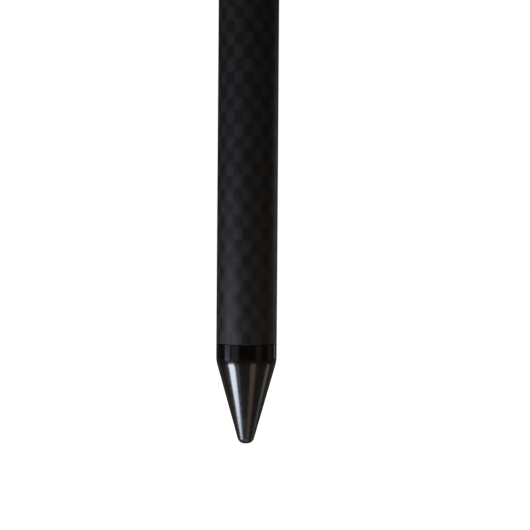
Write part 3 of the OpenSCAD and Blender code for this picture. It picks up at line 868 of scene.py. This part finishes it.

# %% [markdown]
# ## The plunger's spring
#
# The spring is the same helix with a round section. It sits between the plunger's shoulder and
# the cap of its body. A real one gets shorter when the plunger is pulled; this one keeps its length.

# %% Spring
spring_foot, spring_end = (corner.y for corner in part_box("plunger_spring"))
WIRE = 0.36 * MM
SPRING_RADIUS = 3.08 * MM
COILS = 6
TO_Y = Matrix.Rotation(math.radians(-90), 4, "X")
spring_length = spring_end - spring_foot
coil_pitch = (spring_length - 2 * WIRE) / COILS
spring_mesh = grown("plunger_spring_coiled", coil, Radius=SPRING_RADIUS, Pitch=coil_pitch,
                    Turns=float(COILS), RunOut=0.2, EndScale=1.0, Material=spring_wire, Wire=WIRE,
                    Sides=12)
moved(spring_mesh, (0, spring_foot + WIRE, plunger_height), TO_Y)
spring = piece_of(spring_mesh, spring_wire, "lower_pole", "spring_steel", "plunger_spring")
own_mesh(spring)

# %% [markdown]
# ## The plunger's knob
#
# The knob is a moulded cap with ribs for the fingers. The ribs are one rounded rod, set out
# round a circle by Geometry Nodes: a sphere is cut at its middle and drawn apart to make the
# rod, and the points of a circle carry it.

# %% Knob
def rib_tree():
    tree, given, output = tree_with_inputs("knob_ribs", "Circle Rib Length", Count="Int")
    ball = add(tree, "GeometryNodeMeshUVSphere", {"Segments": 8, "Rings": 6, "Radius": given["Rib"]})
    spot = add(tree, "ShaderNodeSeparateXYZ", [add(tree, "GeometryNodeInputPosition")]).outputs["Z"]
    side = add(tree, "ShaderNodeMath", [spot], operation="SIGN")
    half = add(tree, "ShaderNodeMath", [given["Length"], 0.5], operation="MULTIPLY")
    reach = add(tree, "ShaderNodeMath", [side, half], operation="MULTIPLY")
    apart = add(tree, "ShaderNodeCombineXYZ", {"Z": reach})
    rod = add(tree, "GeometryNodeSetPosition", {"Geometry": ball, "Offset": apart})
    circle = add(tree, "GeometryNodeMeshCircle", {"Vertices": given["Count"], "Radius": given["Circle"]})
    ribs = add(tree, "GeometryNodeInstanceOnPoints", {"Points": circle, "Instance": rod})
    close_tree(tree, ribs, given, output)
    return tree


knob_foot, knob_end = (corner.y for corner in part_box("plunger_knob"))
knob_length = knob_end - knob_foot
pin_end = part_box("plunger_pin")[1].y - knob_foot
KNOB_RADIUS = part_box("plunger_knob")[1].x
PIN_RADIUS = 2.5 * MM
NECK_RADIUS = 4.4 * MM
NECK_TOP = 2.9 * MM
RIM_FOOT = 4.6 * MM
RIB = 0.6 * MM
RIBS_FOOT = 5.6 * MM
RIBS_SHORTER_BY = 7.9 * MM
RIM = KNOB_RADIUS - 0.4 * MM
DISH = 4.2 * MM
knob_section = [
    (PIN_RADIUS, 0.0),
    (NECK_RADIUS, 0.0),
    *fillet((NECK_RADIUS, 0.0), (NECK_RADIUS, NECK_TOP), (RIM, RIM_FOOT), 1.2 * MM, 6),
    *fillet((NECK_RADIUS, NECK_TOP), (RIM, RIM_FOOT), (RIM, knob_length), 0.8 * MM, 6),
    *fillet((RIM, RIM_FOOT), (RIM, knob_length), (0.0, knob_length), 1.8 * MM, 10),
    (DISH, knob_length),
    (DISH - 0.4 * MM, knob_length - 0.5 * MM),
    (0.0, knob_length - 0.5 * MM),
    (0.0, pin_end),
    (PIN_RADIUS, pin_end),
]
rib_length = knob_length - RIBS_SHORTER_BY
ribs_mesh = grown("knob_ribs", rib_tree(), Count=20, Circle=KNOB_RADIUS - RIB, Rib=RIB,
                  Length=rib_length, Material=black_plastic)
moved(ribs_mesh, (0, 0, RIBS_FOOT + rib_length / 2))
knob_body = spin("knob_body", knob_section, segments=72, closed=True)
knob_mesh = joined("plunger_knob_ribbed", knob_body, ribs_mesh)
moved(knob_mesh, (0, knob_foot, plunger_height), TO_Y)
piece_of(knob_mesh, black_plastic, "plunger", "black_plastic", "plunger_knob")

# %% [markdown]
# ## Printed graduations
#
# The inner tube is printed with the height of the stud's seat above the ground. A mark lines up
# with the top of the clamp when the pole is at that height, so the marks count downwards along
# the tube. Each mark is an arc, swept with a thin flat section and repeated down a line: a short
# one every centimetre, a longer one every five, and the longest, with a number, every ten.

# %% Graduations
reading_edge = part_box("clamp_liner")[1].z
INK = 0.012 * MM
PRINT_RADIUS = INNER_RADIUS + 0.01 * MM


def mark_tree():
    tree, given, output = tree_with_inputs("height_marks", "Radius Sweep Line Thickness Step Top",
                                           Count="Int")
    start = add(tree, "ShaderNodeMath", [given["Sweep"], -0.5, -math.pi / 2], operation="MULTIPLY_ADD")
    arc = add(tree, "GeometryNodeCurveArc",
              {"Resolution": 40, "Radius": given["Radius"], "Start Angle": start,
               "Sweep Angle": given["Sweep"]}, mode="RADIUS").outputs["Curve"]
    upright = add(tree, "GeometryNodeSetCurveNormal", [arc], mode="Z_UP")
    ribbon = add(tree, "GeometryNodeCurvePrimitiveQuadrilateral",
                 {"Width": given["Thickness"], "Height": given["Line"]}, mode="RECTANGLE")
    mark = add(tree, "GeometryNodeCurveToMesh",
               {"Curve": upright, "Profile Curve": ribbon, "Fill Caps": True})
    down = add(tree, "ShaderNodeMath", [given["Step"], -1.0], operation="MULTIPLY")
    top = add(tree, "ShaderNodeCombineXYZ", {"Z": given["Top"]})
    step = add(tree, "ShaderNodeCombineXYZ", {"Z": down})
    line = add(tree, "GeometryNodeMeshLine",
               {"Count": given["Count"], "Start Location": top, "Offset": step}, mode="OFFSET")
    row = add(tree, "GeometryNodeInstanceOnPoints", {"Points": line, "Instance": mark})
    close_tree(tree, row, given, output)
    return tree


marks = mark_tree()


def mark_place(seat_height):
    """Where on the closed pole's inner tube the mark for a height is printed."""
    return reading_edge - (seat_height - SEAT)


def mark_row(name, first_height, step, count, sweep_degrees, line):
    """A row of marks downwards from the first height."""
    return grown(name, marks, Radius=PRINT_RADIUS, Sweep=math.radians(sweep_degrees), Line=line,
                 Thickness=INK, Count=count, Step=step, Top=mark_place(first_height),
                 Material=white_ink)


mark_mesh = joined(
    "height_marks",
    mark_row("centimetres", 1.28, 0.01, 88, 40, 0.35 * MM),
    mark_row("five_centimetres", 1.35, 0.10, 9, 70, 0.35 * MM),
    mark_row("ten_centimetres", 1.30, 0.10, 9, 110, 0.60 * MM),
)
piece_of(mark_mesh, white_ink, "upper_pole", "carbon_inner")

# %% [markdown]
# ## Printed numbers
#
# A number is made as flat text, turned to a mesh, and bent round the tube: its reading direction
# becomes an angle, and its thickness becomes a distance from the axis. A wide flat face can't
# bend and would sink into the tube, so the text is first cut into upright strips.

# %% Numbers
NUMBER_HEIGHT = 7.0 * MM
ABOVE_MARK = 4.2 * MM
STRIP = 0.4 * MM


def number(text):
    """A number as a flat mesh, centred on the origin."""
    curve = bpy.data.curves.new("number", "FONT")
    curve.body = text
    curve.size = NUMBER_HEIGHT
    curve.align_x = "CENTER"
    curve.align_y = "CENTER"
    curve.extrude = INK / 2
    curve.resolution_u = 4
    flat = bmesh.new()
    flat.from_mesh(evaluated(placed(curve), "number"))
    bmesh.ops.remove_doubles(flat, verts=flat.verts, dist=1e-7)
    half_width = max(vertex.co.x for vertex in flat.verts)
    for strip in range(math.ceil(-half_width / STRIP), math.ceil(half_width / STRIP)):
        everything = flat.verts[:] + flat.edges[:] + flat.faces[:]
        bmesh.ops.bisect_plane(flat, geom=everything, plane_co=(strip * STRIP, 0, 0), plane_no=(1, 0, 0))
    bmesh.ops.recalc_face_normals(flat, faces=flat.faces)
    return to_mesh("number", flat)


def wrapped(mesh, radius, height):
    """A flat mesh bent round the front of the pole."""
    for vertex in mesh.vertices:
        turn = vertex.co.x / radius
        out = radius + vertex.co.z
        vertex.co = (out * math.sin(turn), -out * math.cos(turn), height + vertex.co.y)
    return mesh


heights = [tenths / 10 for tenths in range(13, 22)]
numbers = [wrapped(number(f"{h:.1f}"), PRINT_RADIUS, mark_place(h) + ABOVE_MARK) for h in heights]
piece_of(joined("height_numbers", *numbers), white_ink, "upper_pole", "carbon_inner")

# %% [markdown]
# ## The level's circle
#
# A level reads true when the bubble sits inside a printed circle. The circle is a thin ring in
# the hair's breadth between the lens and the spirit, so it is spun like the other round parts
# and follows the ball-shaped underside of the lens.

# %% Bubble circle
level_axis = middle("level_cup")
LENS_BALL = 60 * MM
LENS_ABOVE_FOOT = 11 * MM
CLEAR_OF_LENS = 0.007 * MM
CIRCLE_INSIDE = 4.3 * MM
CIRCLE_OUTSIDE = 4.8 * MM
lens_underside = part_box("level_cup")[0].z + LENS_ABOVE_FOOT


def under_lens(radius, gap):
    """A point at a radius, a gap below the lens's underside."""
    return radius, lens_underside - LENS_BALL + math.sqrt(LENS_BALL ** 2 - radius ** 2) - gap


circle_section = [
    under_lens(CIRCLE_INSIDE, CLEAR_OF_LENS + INK),
    under_lens(CIRCLE_OUTSIDE, CLEAR_OF_LENS + INK),
    under_lens(CIRCLE_OUTSIDE, CLEAR_OF_LENS),
    under_lens(CIRCLE_INSIDE, CLEAR_OF_LENS),
]
circle_mesh = spin("level_circle", circle_section, segments=64, closed=True)
moved(circle_mesh, (level_axis.x, level_axis.y, 0))
piece_of(circle_mesh, black_ink, "lower_pole", "level_glass")

# %% [markdown]
# ## Floor and surroundings
#
# The pole stands on a plain pale floor that runs out of sight. The floor gives off a full white
# of its own, so there is no horizon and no hard shadow. It is left out of reflections, because
# a black point over white would pick up a white sheen. What the point does reflect is a dim
# warm room: dark ahead, and brighter down towards the ground.

# %% Floor and world
FLOOR_SIZE = 30.0


def pale_floor():
    sheet = bmesh.new()
    bmesh.ops.create_grid(sheet, x_segments=1, y_segments=1, size=FLOOR_SIZE / 2)
    floor = placed(to_mesh("floor", sheet))
    white = {"Emission_Color": (1, 1, 1, 1), "Emission_Strength": 1.0}
    dress(floor, finish("pale_paper_floor", "#f4f4f4", 0.9, **white)[0])
    floor.visible_glossy = False
    floor.visible_diffuse = False
    floor.visible_shadow = False


def surroundings(ahead, below, tint):
    """White where the camera looks past the floor, and a dim room everywhere else."""
    world = bpy.data.worlds.new("room")
    world.use_nodes = True
    tree = world.node_tree
    tree.nodes.clear()
    direction = add(tree, "ShaderNodeTexCoord").outputs["Generated"]
    up = add(tree, "ShaderNodeSeparateXYZ", [direction]).outputs["Z"]
    ground = add(tree, "ShaderNodeMapRange",
                 {"Value": up, "From Min": 0.0, "From Max": -1.0, "To Min": ahead, "To Max": below})
    dim = add(tree, "ShaderNodeBackground", {"Color": colour(tint), "Strength": ground})
    white = add(tree, "ShaderNodeBackground", {"Color": (1, 1, 1, 1)})
    seen = add(tree, "ShaderNodeLightPath").outputs["Is Camera Ray"]
    add(tree, "ShaderNodeOutputWorld", [add(tree, "ShaderNodeMixShader", [seen, dim, white])])
    bpy.context.scene.world = world


pale_floor()
surroundings(ahead=0.04, below=0.48, tint="#fff4de")
bpy.context.scene.view_settings.view_transform = "Standard"
print("floor", FLOOR_SIZE, "m square")

# %% [markdown]
# ## Light
#
# A black glossy object is lit by what it reflects. The bright streak down the cone is a window,
# low and to the left, with a dimmer pane on each side that softens the streak's edges. A panel on
# the left gives the collar its highlight. Cards low on the right and under the nose draw the
# cone's other side, panels on the right give the edges, and soft boxes light the head.
#
# Each light is stated by where it stands as seen from the pole, its size, and how bright its
# face is. Its power is that brightness times its area times pi.

# %% Lights
def panel(aim, name, azimuth, elevation, distance, width, height, brightness, tint):
    """A rectangular light. Azimuth 0 is on the camera's side and 90 on its left, in degrees."""
    turn, rise = math.radians(azimuth), math.radians(elevation)
    away = Vector((-math.sin(turn) * math.cos(rise), -math.cos(turn) * math.cos(rise), math.sin(rise)))
    data = bpy.data.lights.new(name, "AREA")
    data.shape = "RECTANGLE"
    data.size = width
    data.size_y = height
    data.color = colour(tint)[:3]
    data.energy = brightness * width * height * math.pi
    lamp = placed(data)
    lamp.location = Vector((0, 0, aim)) + away * distance
    lamp.rotation_mode = "QUATERNION"
    lamp.rotation_quaternion = away.to_track_quat("Z", "Y")
    lamp.visible_camera = False


FOOT = 0.03
HEAD = 1.22

# Name, azimuth, elevation, distance, width, height, brightness and tint.
FOOT_LIGHTS = [
    ("window_low_left", 63.5, -31, 0.5, 0.215, 0.18, 27.0, "#eaf2ff"),
    ("pane_far_left", 91, -31, 0.5, 0.18, 0.18, 0.35, "#fff4f2"),
    ("pane_low_left", 38, -33, 0.5, 0.12, 0.18, 1.3, "#cfe2ff"),
    ("panel_left", 77, -7, 1.2, 0.50, 0.20, 2.6, "#dddaff"),
    ("panel_ahead_left", 44, -6, 1.2, 0.60, 0.30, 0.45, "#f2fff4"),
    ("card_low_right", -30, -38, 0.5, 0.17, 0.30, 1.35, "#ffe2c8"),
    ("card_under", 5, -62, 0.4, 0.25, 0.20, 2.2, "#fff4ea"),
    ("panel_ahead_right", -48, -4, 1.2, 0.50, 0.40, 0.22, "#ffd9c8"),
    ("panel_right", -99, -5, 1.2, 0.40, 0.20, 0.22, "#fff1da"),
    ("strip_low_right", -101, -26, 0.6, 0.16, 0.18, 1.6, "#fffaf2"),
    ("panel_back_right", -135, 4, 1.8, 0.30, 0.60, 0.8, "#fff8ee"),
]
HEAD_LIGHTS = [
    ("head_box_left", 60, 15, 0.9, 0.5, 0.5, 3.0, "#f4f8ff"),
    ("head_box_right", -55, 25, 0.9, 0.4, 0.5, 2.5, "#fff8f0"),
    ("head_box_back", 170, 20, 0.9, 0.6, 0.5, 3.0, "#ffffff"),
    ("head_box_above", 10, 75, 0.9, 0.5, 0.5, 3.0, "#ffffff"),
]
for light in FOOT_LIGHTS:
    panel(FOOT, *light)
for light in HEAD_LIGHTS:
    panel(HEAD, *light)
print(len(bpy.data.lights), "lights")
